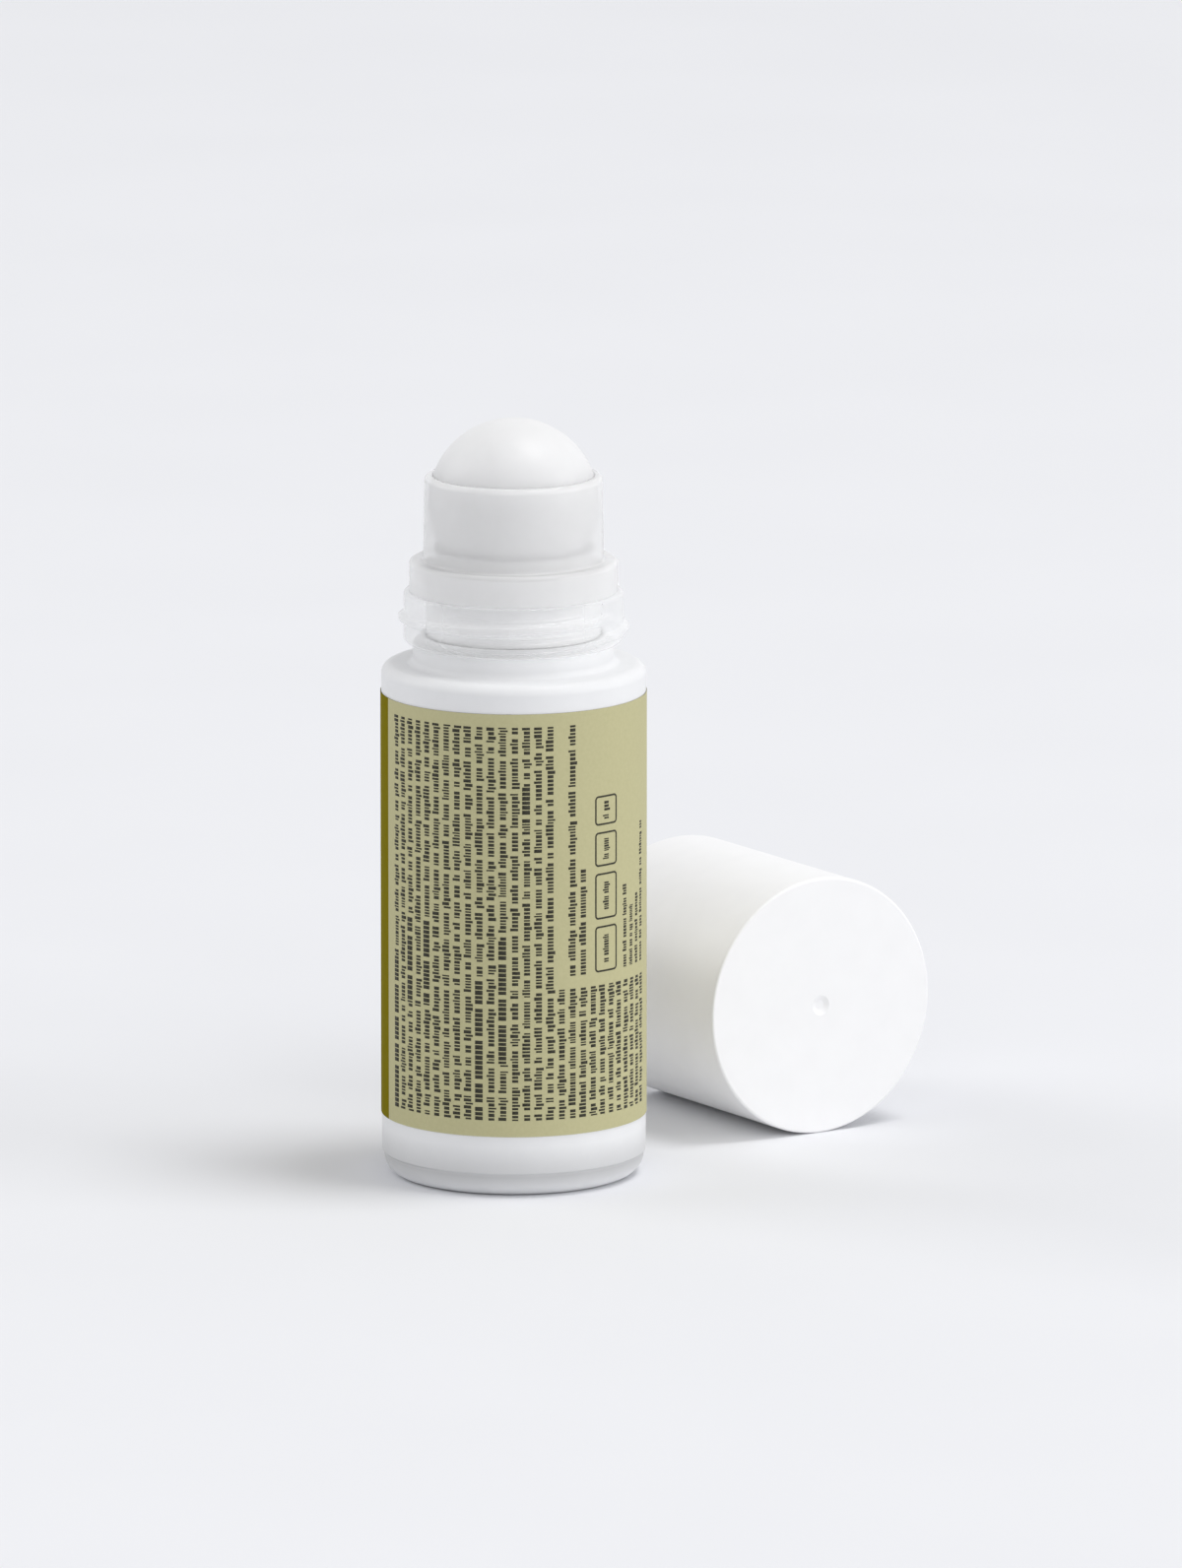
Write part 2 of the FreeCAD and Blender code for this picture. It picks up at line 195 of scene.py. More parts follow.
# Label print
PRINT_SEED = 11
BLOCK_HEIGHT = 0.86 * MM
BLOCK_REACH = 0.26 * MM
BLOCK_WIDTHS = (0.2 * MM, 0.5 * MM)
BLOCK_GAP = 0.17 * MM
GROUP_GAP = 0.55 * MM
GROUP_LENGTHS = (2, 10)
TALL_BLOCK_SHARE = 0.24
DEEP_BLOCK_SHARE = 0.1
HEAVY_WIDTHS = (0.45 * MM, 0.66 * MM)
HEAVY_GAP = 0.14 * MM
NOT_HEAVY_SHARES = (0, 0)
HEAVY_SHARES = {
    0: (0.0, 0.4),
    2: (0.28, 0.5),
    4: (0.3, 0.52),
    9: (0.0, 0.36),
    11: (0.16, 0.48),
    13: (0.78, 0.88),
}
PRINT_MARGIN_FOOT = 2.4 * MM
PRINT_MARGIN_HEAD = 1.9 * MM
LOWER_LENGTH = 18.9 * MM
COLUMN_GAP = 1.9 * MM
ROW_STEP = math.radians(5.13)
FIRST_ROW = math.radians(-61.0)
MAIN_ROWS = 16
LOWER_ROWS = 11
UPPER_ROW = math.radians(26.2)
UPPER_SHORT_SHARE = 0.42
SMALL_ROW = math.radians(56.3)
SMALL_SCALE = 0.8
SMALL_ROW_SHARES = (0.33, 0.24, 0.28, 0.56)
FRAME_TURN = math.radians(43.9)
FRAME_WIDTH = 4.3 * MM
FRAME_LENGTHS = (6.7 * MM, 6.7 * MM, 5.0 * MM, 4.3 * MM)
FRAME_GAP = 1.0 * MM
FRAME_CORNER = 0.6 * MM
FRAME_LINE = 0.26 * MM
FRAME_ROW_SHARES = (0.2, 0.8)
PRINT_FOOT = LABEL_FOOT + PRINT_MARGIN_FOOT
PRINT_HEAD = LABEL_HEAD - PRINT_MARGIN_HEAD
LOWER_HEAD = PRINT_FOOT + LOWER_LENGTH
UPPER_FOOT = LOWER_HEAD + COLUMN_GAP
UPPER_LENGTH = PRINT_HEAD - UPPER_FOOT

# Materials
NOISE_DETAIL = 3
NOISE_SHARES = (0.3, 0.7)
EDGE_BLEND = 0.35
EVEN_SCATTER = (1, 1, 1)
FINE_RELIEF = 0.002 * MM
FROST_GRAIN = 4 * MM
FROST_GLOSS_GRAIN = 1.5 * MM
# Painted shade of the thick foot seen through the frosting: heights up the body, and the share of the base
# colour kept at each
PAINTED_FOOT_SHADE_HEIGHTS = (0.8 * MM, 2.1 * MM, 3.0 * MM, 3.7 * MM, 5.0 * MM, 7.4 * MM)
PAINTED_FOOT_SHADE_SHARES = (1.0, 0.78, 0.66, 0.77, 0.84, 1.0)
CLEAR_GRAIN = 6 * MM
CLEAR_GLOSS_GRAIN = 3 * MM
HOUSING_GRAIN = 3 * MM
HOUSING_GLOSS_GRAIN = 1.2 * MM
HOUSING_SCATTER = 1 * MM
BALL_GRAIN = 3 * MM
BALL_GLOSS_GRAIN = 2 * MM
BALL_SCATTER = 12 * MM
CAP_GRAIN = 4 * MM
CAP_GLOSS_GRAIN = 1.5 * MM
CAP_RELIEF_GRAIN = 0.4 * MM
PAPER_GRAIN = 0.5 * MM
PAPER_GLOSS_GRAIN = 1 * MM
PAPER_FIBRE = 0.3 * MM

# Places of a Mix node's colour sockets, whose names other sockets share
MIX_FIRST_COLOUR = 6
MIX_SECOND_COLOUR = 7
MIX_RESULT_COLOUR = 2

# Stage, in metres
FLOOR_HALF = 6.0
FLOOR_CORNERS = ((-1, -1), (1, -1), (1, 1), (-1, 1))
FLOOR_GRAIN = 60 * MM
FILL_STRENGTH = 0.49
BACKDROP = (0.93, 0.935, 0.96)
LAMP_DISTANCE = 5.0
LAMP_TARGET = Vector((0.02, 0, 0.05))

Run = namedtuple("Run", "points material swell", defaults=(None,))


def evenly(first, last, steps):
    """Values from first to last in even steps."""
    return [first + (last - first) * step / steps for step in range(steps + 1)]


def rounded(corners):
    """Outline points through (radius, height, bend) corners, each rounded to its bend."""
    points = []
    for index, (radius, height, bend) in enumerate(corners):
        corner = Vector((radius, height))
        if not bend:
            points.append(corner)
            continue
        before = (Vector(corners[index - 1][:2]) - corner).normalized()
        after = (Vector(corners[(index + 1) % len(corners)][:2]) - corner).normalized()
        half = before.angle(after) / 2
        centre = corner + (before + after).normalized() * bend / math.sin(half)
        start = corner + before * bend / math.tan(half) - centre
        finish = corner + after * bend / math.tan(half) - centre
        first = math.atan2(start.y, start.x)
        sweep = (math.atan2(finish.y, finish.x) - first + TURN / 2) % TURN - TURN / 2
        for step in range(ROUND_STEPS + 1):
            angle = first + sweep * step / ROUND_STEPS
            points.append(centre + bend * Vector((math.cos(angle), math.sin(angle))))
    return points


def ball_arc(radius, first_rise, last_rise, steps):
    """Outline points on a sphere about the ball's centre, from one height over it to another."""
    angles = evenly(math.asin(first_rise / radius), math.asin(last_rise / radius), steps)
    return [Vector((radius * math.cos(a), BALL_HEIGHT + radius * math.sin(a))) for a in angles]


def under_centre(radius, reach):
    """Height, below the ball's centre, at which a sphere about it is that far from the axis."""
    return -math.sqrt(radius ** 2 - reach ** 2)


def divided(start, finish, step):
    """Points from start to finish, close enough together to carry a thread."""
    count = math.ceil((finish - start).length / step)
    return [start.lerp(finish, index / count) for index in range(count + 1)]


def smooth(value):
    """0 to 1 with a soft start and end."""
    value = min(max(value, 0), 1)
    return value * value * (3 - 2 * value)


def right_hand_thread(top, top_angle, pitch, turns, proud, width, flank, fade):
    """How far a thread stands out at an angle and height."""
    def stand_out(angle, height):
        most = 0
        along = ((top_angle - angle) / TURN) % 1
        while along < turns:
            off = abs(height - top + pitch * along)
            crest = smooth((width / 2 - off) / flank)
            run_out = smooth(min(along, turns - along) / fade)
            most = max(most, crest * run_out)
            along += 1
        return proud * most
    return stand_out


def joined_sections(first, sections, sides, closed):
    """Faces that join each section of points to the next, and the last to the first if closed."""
    faces = []
    for index in range(sections if closed else sections - 1):
        here = first + sides * index
        there = first + sides * ((index + 1) % sections)
        for side in range(sides):
            after = (side + 1) % sides
            faces.append((here + side, there + side, there + after, here + after))
    return faces


def new_object(name, vertices, faces, materials, material_indices):
    """A smooth mesh object with its materials."""
    mesh = bpy.data.meshes.new(name)
    mesh.from_pydata(vertices, [], faces)
    for material in materials:
        mesh.materials.append(material)
    mesh.polygons.foreach_set("material_index", material_indices)
    mesh.polygons.foreach_set("use_smooth", [True] * len(faces))
    mesh.update()
    obj = bpy.data.objects.new(name, mesh)
    bpy.context.scene.collection.objects.link(obj)
    normals = obj.modifiers.new("normals", "WEIGHTED_NORMAL")
    normals.weight = NORMAL_WEIGHT
    return obj


def turned(name, runs, place=Matrix.Identity(4)):
    """A form turned from runs of outline points, which start and end on the axis or close on themselves."""
    materials = []
    for run in runs:
        if run.material not in materials:
            materials.append(run.material)
    vertices, rings = [], []
    for run in runs:
        for radius, height in run.points:
            if radius == 0:
                rings.append(([len(vertices)], materials.index(run.material)))
                vertices.append(place @ Vector((0, 0, height)))
                continue
            ring = []
            for step in range(SEGMENTS):
                angle = TURN * step / SEGMENTS
                reach = radius + (run.swell(angle, height) if run.swell else 0)
                ring.append(len(vertices))
                vertices.append(place @ Vector((reach * math.cos(angle), reach * math.sin(angle), height)))
            rings.append((ring, materials.index(run.material)))
    faces, material_indices = [], []
    closed = len(rings[0][0]) > 1
    for index in range(len(rings) if closed else len(rings) - 1):
        lower, material_index = rings[index]
        upper = rings[(index + 1) % len(rings)][0]
        for step in range(SEGMENTS):
            after = (step + 1) % SEGMENTS
            if len(lower) == 1:
                face = (lower[0], upper[after], upper[step])
            elif len(upper) == 1:
                face = (lower[step], lower[after], upper[0])
            else:
                face = (lower[step], lower[after], upper[after], upper[step])
            faces.append(face)
            material_indices.append(material_index)
    return new_object(name, vertices, faces, materials, material_indices)


# Material functions

def new_material(name, **sockets):
    """A principled material with its even numbers set."""
    material = bpy.data.materials.new(name)
    material.use_nodes = True
    shader = material.node_tree.nodes["Principled BSDF"]
    for socket, value in sockets.items():
        shader.inputs[socket.replace("_", " ")].default_value = value
    return material


def noise(material, grain, detail=NOISE_DETAIL):
    """A noise of that grain size, in the piece's own space."""
    nodes, links = material.node_tree.nodes, material.node_tree.links
    place = nodes.new("ShaderNodeTexCoord")
    texture = nodes.new("ShaderNodeTexNoise")
    texture.inputs["Scale"].default_value = 1 / grain
    texture.inputs["Detail"].default_value = detail
    links.new(place.outputs["Object"], texture.inputs["Vector"])
    return texture.outputs["Fac"]


def vary_colour(material, grain, dark, light, detail=NOISE_DETAIL):
    """Mottle the base colour between two tones."""
    nodes, links = material.node_tree.nodes, material.node_tree.links
    ramp = nodes.new("ShaderNodeValToRGB")
    for stop, share, colour in zip(ramp.color_ramp.elements, NOISE_SHARES, (dark, light)):
        stop.position = share
        stop.color = (*colour, 1)
    links.new(noise(material, grain, detail), ramp.inputs["Fac"])
    links.new(ramp.outputs["Color"], nodes["Principled BSDF"].inputs["Base Color"])


def vary_roughness(material, grain, low, high):
    """Let the roughness wander between two values."""
    nodes, links = material.node_tree.nodes, material.node_tree.links
    spread = nodes.new("ShaderNodeMapRange")
    spread.inputs["From Min"].default_value = NOISE_SHARES[0]
    spread.inputs["From Max"].default_value = NOISE_SHARES[1]
    spread.inputs["To Min"].default_value = low
    spread.inputs["To Max"].default_value = high
    links.new(noise(material, grain), spread.inputs["Value"])
    links.new(spread.outputs["Result"], nodes["Principled BSDF"].inputs["Roughness"])


def add_bump(material, grain, depth):
    """Fine relief of that grain size and depth."""
    nodes, links = material.node_tree.nodes, material.node_tree.links
    bump = nodes.new("ShaderNodeBump")
    bump.inputs["Distance"].default_value = depth
    links.new(noise(material, grain), bump.inputs["Height"])
    links.new(bump.outputs["Normal"], nodes["Principled BSDF"].inputs["Normal"])


def paint_foot_shade(material, heights, shares):
    """Painted shade: deepen the base colour by height, for the thick foot's shade seen through the
    frosting.
    """
    nodes, links = material.node_tree.nodes, material.node_tree.links
    colour = nodes["Principled BSDF"].inputs["Base Color"]
    lowest = heights[0]
    highest = heights[-1]
    place = nodes.new("ShaderNodeTexCoord")
    split = nodes.new("ShaderNodeSeparateXYZ")
    climb = nodes.new("ShaderNodeMapRange")
    climb.inputs["From Min"].default_value = lowest
    climb.inputs["From Max"].default_value = highest
    ramp = nodes.new("ShaderNodeValToRGB")
    stops = ramp.color_ramp.elements
    for height in heights[1:-1]:
        stops.new((height - lowest) / (highest - lowest))
    for stop, share in zip(stops, shares):
        stop.color = (share, share, share, 1)
    mix = nodes.new("ShaderNodeMix")
    mix.data_type = "RGBA"
    mix.blend_type = "MULTIPLY"
    mix.inputs["Factor"].default_value = 1
    links.new(place.outputs["Object"], split.inputs["Vector"])
    links.new(split.outputs["Z"], climb.inputs["Value"])
    links.new(climb.outputs["Result"], ramp.inputs["Fac"])
    links.new(colour.links[0].from_socket, mix.inputs[MIX_FIRST_COLOUR])
    links.new(ramp.outputs["Color"], mix.inputs[MIX_SECOND_COLOUR])
    links.new(mix.outputs[MIX_RESULT_COLOUR], colour)


def clear_face_on(material, face_on, edge_on):
    """See-through face on, less so at the edges, and passing light from any side, as clear glass does."""
    nodes, links = material.node_tree.nodes, material.node_tree.links
    weight = nodes.new("ShaderNodeLayerWeight")
    weight.inputs["Blend"].default_value = EDGE_BLEND
    spread = nodes.new("ShaderNodeMapRange")
    spread.inputs["To Min"].default_value = face_on
    spread.inputs["To Max"].default_value = edge_on
    path = nodes.new("ShaderNodeLightPath")
    lit = nodes.new("ShaderNodeMix")
    lit.inputs["B"].default_value = face_on
    links.new(weight.outputs["Facing"], spread.inputs["Value"])
    links.new(path.outputs["Is Shadow Ray"], lit.inputs["Factor"])
    links.new(spread.outputs["Result"], lit.inputs["A"])
    links.new(lit.outputs["Result"], nodes["Principled BSDF"].inputs["Alpha"])


# Glass materials
frosted_glass = new_material("frosted_glass", IOR=1.4, Transmission_Weight=0.1, Specular_IOR_Level=0.3)
vary_colour(frosted_glass, FROST_GRAIN, dark=(0.855, 0.86, 0.872), light=(0.875, 0.88, 0.892))
# Painted shade, darker in a band low on the frosted body
paint_foot_shade(frosted_glass, PAINTED_FOOT_SHADE_HEIGHTS, PAINTED_FOOT_SHADE_SHARES)
vary_roughness(frosted_glass, FROST_GLOSS_GRAIN, low=0.4, high=0.48)

clear_glass = new_material("clear_glass", IOR=1.5)
vary_colour(clear_glass, CLEAR_GRAIN, dark=(0.915, 0.92, 0.925), light=(0.93, 0.935, 0.94))
vary_roughness(clear_glass, CLEAR_GLOSS_GRAIN, low=0.03, high=0.07)
clear_face_on(clear_glass, face_on=0.1, edge_on=0.7)

# Plastic materials
housing_plastic = new_material(
    "translucent_plastic",
    IOR=1.45,
    Alpha=0.55,
    Subsurface_Weight=0.5,
    Subsurface_Radius=EVEN_SCATTER,
    Subsurface_Scale=HOUSING_SCATTER,
)
plug_plastic = new_material("translucent_plastic_thick", IOR=1.45, Alpha=0.92)
for plastic in (housing_plastic, plug_plastic):
    vary_colour(plastic, HOUSING_GRAIN, dark=(0.95, 0.95, 0.955), light=(0.97, 0.97, 0.975))
    vary_roughness(plastic, HOUSING_GLOSS_GRAIN, low=0.18, high=0.24)

ball_plastic = new_material(
    "ball_plastic",
    IOR=1.49,
    Specular_IOR_Level=0.35,
    Subsurface_Weight=0.8,
    Subsurface_Radius=EVEN_SCATTER,
    Subsurface_Scale=BALL_SCATTER,
)
vary_colour(ball_plastic, BALL_GRAIN, dark=(0.72, 0.72, 0.725), light=(0.735, 0.735, 0.74))
vary_roughness(ball_plastic, BALL_GLOSS_GRAIN, low=0.38, high=0.46)

cap_plastic = new_material("cap_plastic", IOR=1.49)
vary_colour(cap_plastic, CAP_GRAIN, dark=(0.868, 0.868, 0.876), light=(0.883, 0.883, 0.891))
vary_roughness(cap_plastic, CAP_GLOSS_GRAIN, low=0.36, high=0.46)
add_bump(cap_plastic, CAP_RELIEF_GRAIN, FINE_RELIEF)

# Label materials
label_khaki = new_material("label_khaki", IOR=1.45, Specular_IOR_Level=0.1)
vary_colour(label_khaki, PAPER_GRAIN, dark=(0.478, 0.454, 0.265), light=(0.502, 0.477, 0.281))
vary_roughness(label_khaki, PAPER_GLOSS_GRAIN, low=0.65, high=0.75)
add_bump(label_khaki, PAPER_FIBRE, FINE_RELIEF)

label_olive = new_material("label_olive", IOR=1.45, Specular_IOR_Level=0.02)
vary_colour(label_olive, PAPER_GRAIN, dark=(0.18, 0.147, 0.001), light=(0.195, 0.159, 0.002))
vary_roughness(label_olive, PAPER_GLOSS_GRAIN, low=0.65, high=0.75)
add_bump(label_olive, PAPER_FIBRE, FINE_RELIEF)

label_back = new_material("label_back", IOR=1.45)
vary_colour(label_back, PAPER_GRAIN, dark=(0.80, 0.80, 0.78), light=(0.86, 0.86, 0.84))
vary_roughness(label_back, PAPER_GLOSS_GRAIN, low=0.6, high=0.75)

label_ink = new_material("label_ink", IOR=1.45, Specular_IOR_Level=0.2)
vary_colour(label_ink, PAPER_GRAIN, dark=(0.03, 0.029, 0.02), light=(0.045, 0.043, 0.03))
vary_roughness(label_ink, PAPER_GLOSS_GRAIN, low=0.5, high=0.6)

# Frosted body of the bottle, with a rim that stands up inside the neck
body_outside = []
for step in range(PUSH_UP_STEPS):
    share = step / PUSH_UP_STEPS
    body_outside.append(Vector((BEARING_RADIUS * share, PUSH_UP * (1 - share * share))))
body_outside += rounded([
    (BEARING_RADIUS, 0, 0),
    (BODY_RADIUS - HEEL_STEP, 0, HEEL_ROUND),
    (BODY_RADIUS - HEEL_STEP, HEEL_STEP_HEIGHT, HEEL_STEP_ROUND),
    (BODY_RADIUS, HEEL_STEP_HEIGHT + HEEL_STEP, HEEL_STEP_ROUND),
    (BODY_RADIUS, SHOULDER_HEIGHT, SHOULDER_ROUND),
    (NECK_ROOT_RADIUS, SHOULDER_HEIGHT, COVE_ROUND),
    (NECK_ROOT_RADIUS, BEAD_HEIGHT - FROST_GAP, 0),
    (FROST_RIM_RADIUS, BEAD_HEIGHT - FROST_GAP, 0),
    (FROST_RIM_RADIUS, FROST_RIM_HEIGHT, 0),
])
body_inside = rounded([
    (BORE_RADIUS, FROST_RIM_HEIGHT, 0),
    (BORE_RADIUS, CAVITY_CEILING, CAVITY_ROUND),
    (CAVITY_RADIUS, CAVITY_CEILING, CAVITY_ROUND),
    (CAVITY_RADIUS, CAVITY_FLOOR, CAVITY_ROUND),
    (0, CAVITY_FLOOR, 0),
])
bottle = turned("bottle_glass", [Run(body_outside + body_inside, frosted_glass)])
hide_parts("glass_bottle")
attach(bottle, "bottle")

# Clear neck of the bottle: end corners that only give a direction are cut off
neck_foot = rounded([
    (BORE_RADIUS, FROST_RIM_HEIGHT + FROST_GAP, 0),
    (FROST_RIM_RADIUS + FROST_GAP, FROST_RIM_HEIGHT + FROST_GAP, 0),
    (FROST_RIM_RADIUS + FROST_GAP, BEAD_HEIGHT, 0),
    (NECK_RADIUS, BEAD_HEIGHT, BEAD_ROUND),
    (NECK_RADIUS, LIP_HEIGHT, 0),
])[:-1]
neck_lip = rounded([
    (NECK_RADIUS, BEAD_HEIGHT, 0),
    (NECK_RADIUS, LIP_HEIGHT, LIP_ROUND),
    (BORE_RADIUS, LIP_HEIGHT, LIP_ROUND),
    (BORE_RADIUS, FROST_RIM_HEIGHT + FROST_GAP, 0),
])[1:-1]
neck_wall = divided(neck_foot[-1], neck_lip[0], THREAD_STEP)[1:-1]
neck_thread = right_hand_thread(
    top=LIP_HEIGHT - NECK_THREAD_DROP,
    top_angle=FRONT_ANGLE + NECK_THREAD_ANGLE,
    pitch=NECK_THREAD_PITCH,
    turns=NECK_THREAD_TURNS,
    proud=NECK_THREAD_PROUD,
    width=NECK_THREAD_WIDTH,
    flank=NECK_THREAD_FLANK,
    fade=RUN_OUT_SHARE,
)
neck = turned("bottle_neck_glass", [
    Run(neck_foot, clear_glass),
    Run(neck_wall, clear_glass, neck_thread),
    Run(neck_lip, clear_glass),
])
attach(neck, "bottle")

# Ball housing
plug_outside = [
    Vector((PLUG_BORE_RADIUS, PLUG_FOOT)),
    Vector((PLUG_RADIUS - PLUG_LEAD_IN, PLUG_FOOT)),
    Vector((PLUG_RADIUS, PLUG_FOOT + PLUG_LEAD_IN)),
]
for drop in SEAL_RIB_DROPS:
    for share in evenly(-1, 1, SEAL_RIB_STEPS):
        proud = SEAL_RIB_PROUD * (1 - share * share)
        plug_outside.append(Vector((PLUG_RADIUS + proud, LIP_HEIGHT - drop + SEAL_RIB_REACH * share)))
rim_rise = RIM_HEIGHT - BALL_HEIGHT
rim_inner_radius = math.sqrt(SOCKET_RADIUS ** 2 - rim_rise ** 2)
housing_outside = rounded([
    (PLUG_RADIUS, LIP_HEIGHT, 0),
    (CUP_FOOT_RADIUS, LIP_HEIGHT, 0),
    (CUP_FOOT_RADIUS, CORE_ROOF, CORE_ROOF_ROUND),
    (CORE_RADIUS, CORE_ROOF, CORE_ROOF_ROUND),
    (CORE_RADIUS, LIP_HEIGHT, CORE_MOUTH_ROUND),
    (COLLAR_RADIUS, LIP_HEIGHT, COLLAR_FOOT_ROUND),
    (COLLAR_RADIUS, COLLAR_TOP, COLLAR_ROUND),
    (CUP_FOOT_RADIUS, COLLAR_TOP, CUP_FOOT_ROUND),
    (CUP_RIM_RADIUS, RIM_HEIGHT, CUP_RIM_ROUND),
    (rim_inner_radius, RIM_HEIGHT, 0),
])
socket_foot = under_centre(SOCKET_RADIUS, FEED_RADIUS)
socket = ball_arc(SOCKET_RADIUS, rim_rise, socket_foot, SOCKET_STEPS)[1:]
bowl_foot = under_centre(BOWL_RADIUS, FEED_RADIUS)
bowl_edge = under_centre(BOWL_RADIUS, PLUG_BORE_RADIUS)
bowl = ball_arc(BOWL_RADIUS, bowl_foot, bowl_edge, BOWL_STEPS)
housing = turned("ball_housing_moulding", [
    Run(plug_outside, plug_plastic),
    Run(housing_outside + socket + bowl, housing_plastic),
])
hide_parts("ball_housing")
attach(housing, "bottle")

# Ball, with both its poles on the axis
ball_points = ball_arc(BALL_RADIUS, -BALL_RADIUS, BALL_RADIUS, BALL_STEPS)
ball_points[0].x = 0
ball_points[-1].x = 0
ball = turned("roller_ball_moulding", [Run(ball_points, ball_plastic)])
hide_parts("roller_ball")
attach(ball, "ball")

# Cap, turned about its own axis from its mouth up and laid on its side
cap_place = Matrix.Translation(CAP_MOUTH) @ Matrix.Rotation(TURN / 4, 4, "X")
cap_inside = rounded([
    (0, CAP_CEILING, 0),
    (PRESS_RING_BORE_RADIUS, CAP_CEILING, PRESS_RING_ROOT_ROUND),
    (PRESS_RING_BORE_RADIUS, PRESS_RING_EDGE, PRESS_RING_ROUND),
    (PRESS_RING_RADIUS, PRESS_RING_EDGE, PRESS_RING_ROUND),
    (PRESS_RING_RADIUS, CAP_CEILING, PRESS_RING_ROOT_ROUND),
    (CAP_BORE_RADIUS, CAP_CEILING, CAP_CEILING_ROUND),
    (CAP_BORE_RADIUS, CAP_THREAD_ZONE, 0),
])
cap_mouth = rounded([
    (CAP_BORE_RADIUS, CAP_CEILING, 0),
    (CAP_BORE_RADIUS, 0, CAP_MOUTH_ROUND),
    (CAP_RADIUS, 0, 0),
])[1:-1]
cap_outside = rounded([
    (CAP_BORE_RADIUS, 0, 0),
    (CAP_RADIUS, 0, CAP_MOUTH_ROUND),
    (CAP_RADIUS, CAP_LENGTH, CAP_EDGE_ROUND),
    (GATE_RADIUS, CAP_LENGTH, GATE_ROUND),
    (GATE_FLOOR_RADIUS, CAP_LENGTH - GATE_DEPTH, GATE_ROUND),
    (0, CAP_LENGTH - GATE_DEPTH, 0),
])[1:]
cap_bore = divided(cap_inside[-1], cap_mouth[0], THREAD_STEP)[1:-1]
cap_thread = right_hand_thread(
    top=CAP_THREAD_TOP,
    top_angle=CAP_THREAD_ANGLE,
    pitch=CAP_THREAD_PITCH,
    turns=CAP_THREAD_TURNS,
    proud=-CAP_THREAD_PROUD,
    width=CAP_THREAD_WIDTH,
    flank=CAP_THREAD_FLANK,
    fade=RUN_OUT_SHARE,
)
cap = turned("screw_cap_moulding", [
    Run(cap_inside, cap_plastic),
    Run(cap_bore, cap_plastic, cap_thread),
    Run(cap_mouth + cap_outside, cap_plastic),
], cap_place)
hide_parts("screw_cap")
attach(cap, "cap")

# Label sheet: an olive field round the back and a khaki panel in front, which end at a seam
sheet_section = (
    (SHEET_BACK_RADIUS, LABEL_FOOT),
    (SHEET_RADIUS, LABEL_FOOT),
    (SHEET_RADIUS, LABEL_HEAD),
    (SHEET_BACK_RADIUS, LABEL_HEAD),
)
sheet_sides = len(sheet_section)
sheet_materials = [label_olive, label_khaki, label_back]
half_gap = SEAM_GAP / 2 / LABEL_RADIUS
olive_angles = evenly(SEAM_ANGLE - TURN + half_gap, PANEL_ANGLE, LABEL_STEPS)
khaki_angles = evenly(PANEL_ANGLE, SEAM_ANGLE - half_gap, LABEL_STEPS)
sheet_angles = olive_angles[:-1] + khaki_angles
sheet_vertices = []
for angle in sheet_angles:
    for radius, height in sheet_section:
        sheet_vertices.append((radius * math.cos(angle), radius * math.sin(angle), height))
sheet_faces = joined_sections(0, len(sheet_angles), sheet_sides, closed=False)
sheet_indices = []
for number in range(len(sheet_faces)):
    column, side = divmod(number, sheet_sides)
    front = label_olive if column < LABEL_STEPS else label_khaki
    sheet_indices.append(sheet_materials.index(label_back if side == sheet_sides - 1 else front))
last = len(sheet_vertices) - sheet_sides
sheet_faces.append(tuple(range(sheet_sides)))
sheet_indices.append(sheet_materials.index(label_olive))
sheet_faces.append(tuple(last + side for side in reversed(range(sheet_sides))))
sheet_indices.append(sheet_materials.index(label_khaki))
label = new_object("label_sheet", sheet_vertices, sheet_faces, sheet_materials, sheet_indices)
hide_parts("wrap_label")
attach(label, "bottle")

# Label print: rows of plain blocks, and plain frames
BLOCK_FACES = ((3, 2, 1, 0), (4, 5, 6, 7), (0, 1, 5, 4), (1, 2, 6, 5), (2, 3, 7, 6), (3, 0, 4, 7))
draw = random.Random(PRINT_SEED)
print_vertices, print_faces = [], []


def label_point(turn, height, radius):
    """A point on the label, turned so far from the front."""
    return (radius * math.cos(FRONT_ANGLE + turn), radius * math.sin(FRONT_ANGLE + turn), height)


def add_block(turn, above, below, low, high):
    """A block of ink in a row, reaching above and below the row's line and from low to high along it."""
    first = len(print_vertices)
    left = turn - above / LABEL_RADIUS
    right = turn + below / LABEL_RADIUS
    for radius in (SHEET_RADIUS, LABEL_RADIUS):
        for place, height in ((left, low), (right, low), (right, high), (left, high)):
            print_vertices.append(label_point(place, height, radius))
    for face in BLOCK_FACES:
        print_faces.append(tuple(first + corner for corner in face))


def add_row(turn, foot, head, scale=1.0, heavy_shares=NOT_HEAVY_SHARES):
    """A row of groups of blocks that fills its length up the label, heavy between two shares of it."""
    blocks = []
    reached = 0
    while reached < head - foot:
        for _ in range(draw.randint(*GROUP_LENGTHS)):
            heavy = heavy_shares[0] <= reached / (head - foot) < heavy_shares[1]
            width = scale * draw.uniform(*(HEAVY_WIDTHS if heavy else BLOCK_WIDTHS))
            kind = draw.random()
            tall = heavy or kind < TALL_BLOCK_SHARE
            deep = not tall and kind > 1 - DEEP_BLOCK_SHARE
            blocks.append((reached, reached + width, tall, deep))
            reached += width + scale * (HEAVY_GAP if heavy else BLOCK_GAP)
        reached += scale * GROUP_GAP
    fit = (head - foot) / blocks[-1][1]
    for start, finish, tall, deep in blocks:
        above = scale * (BLOCK_HEIGHT / 2 + (BLOCK_REACH if tall else 0))
        below = scale * (BLOCK_HEIGHT / 2 + (BLOCK_REACH if deep else 0))
        add_block(turn, above, below, foot + fit * start, foot + fit * finish)


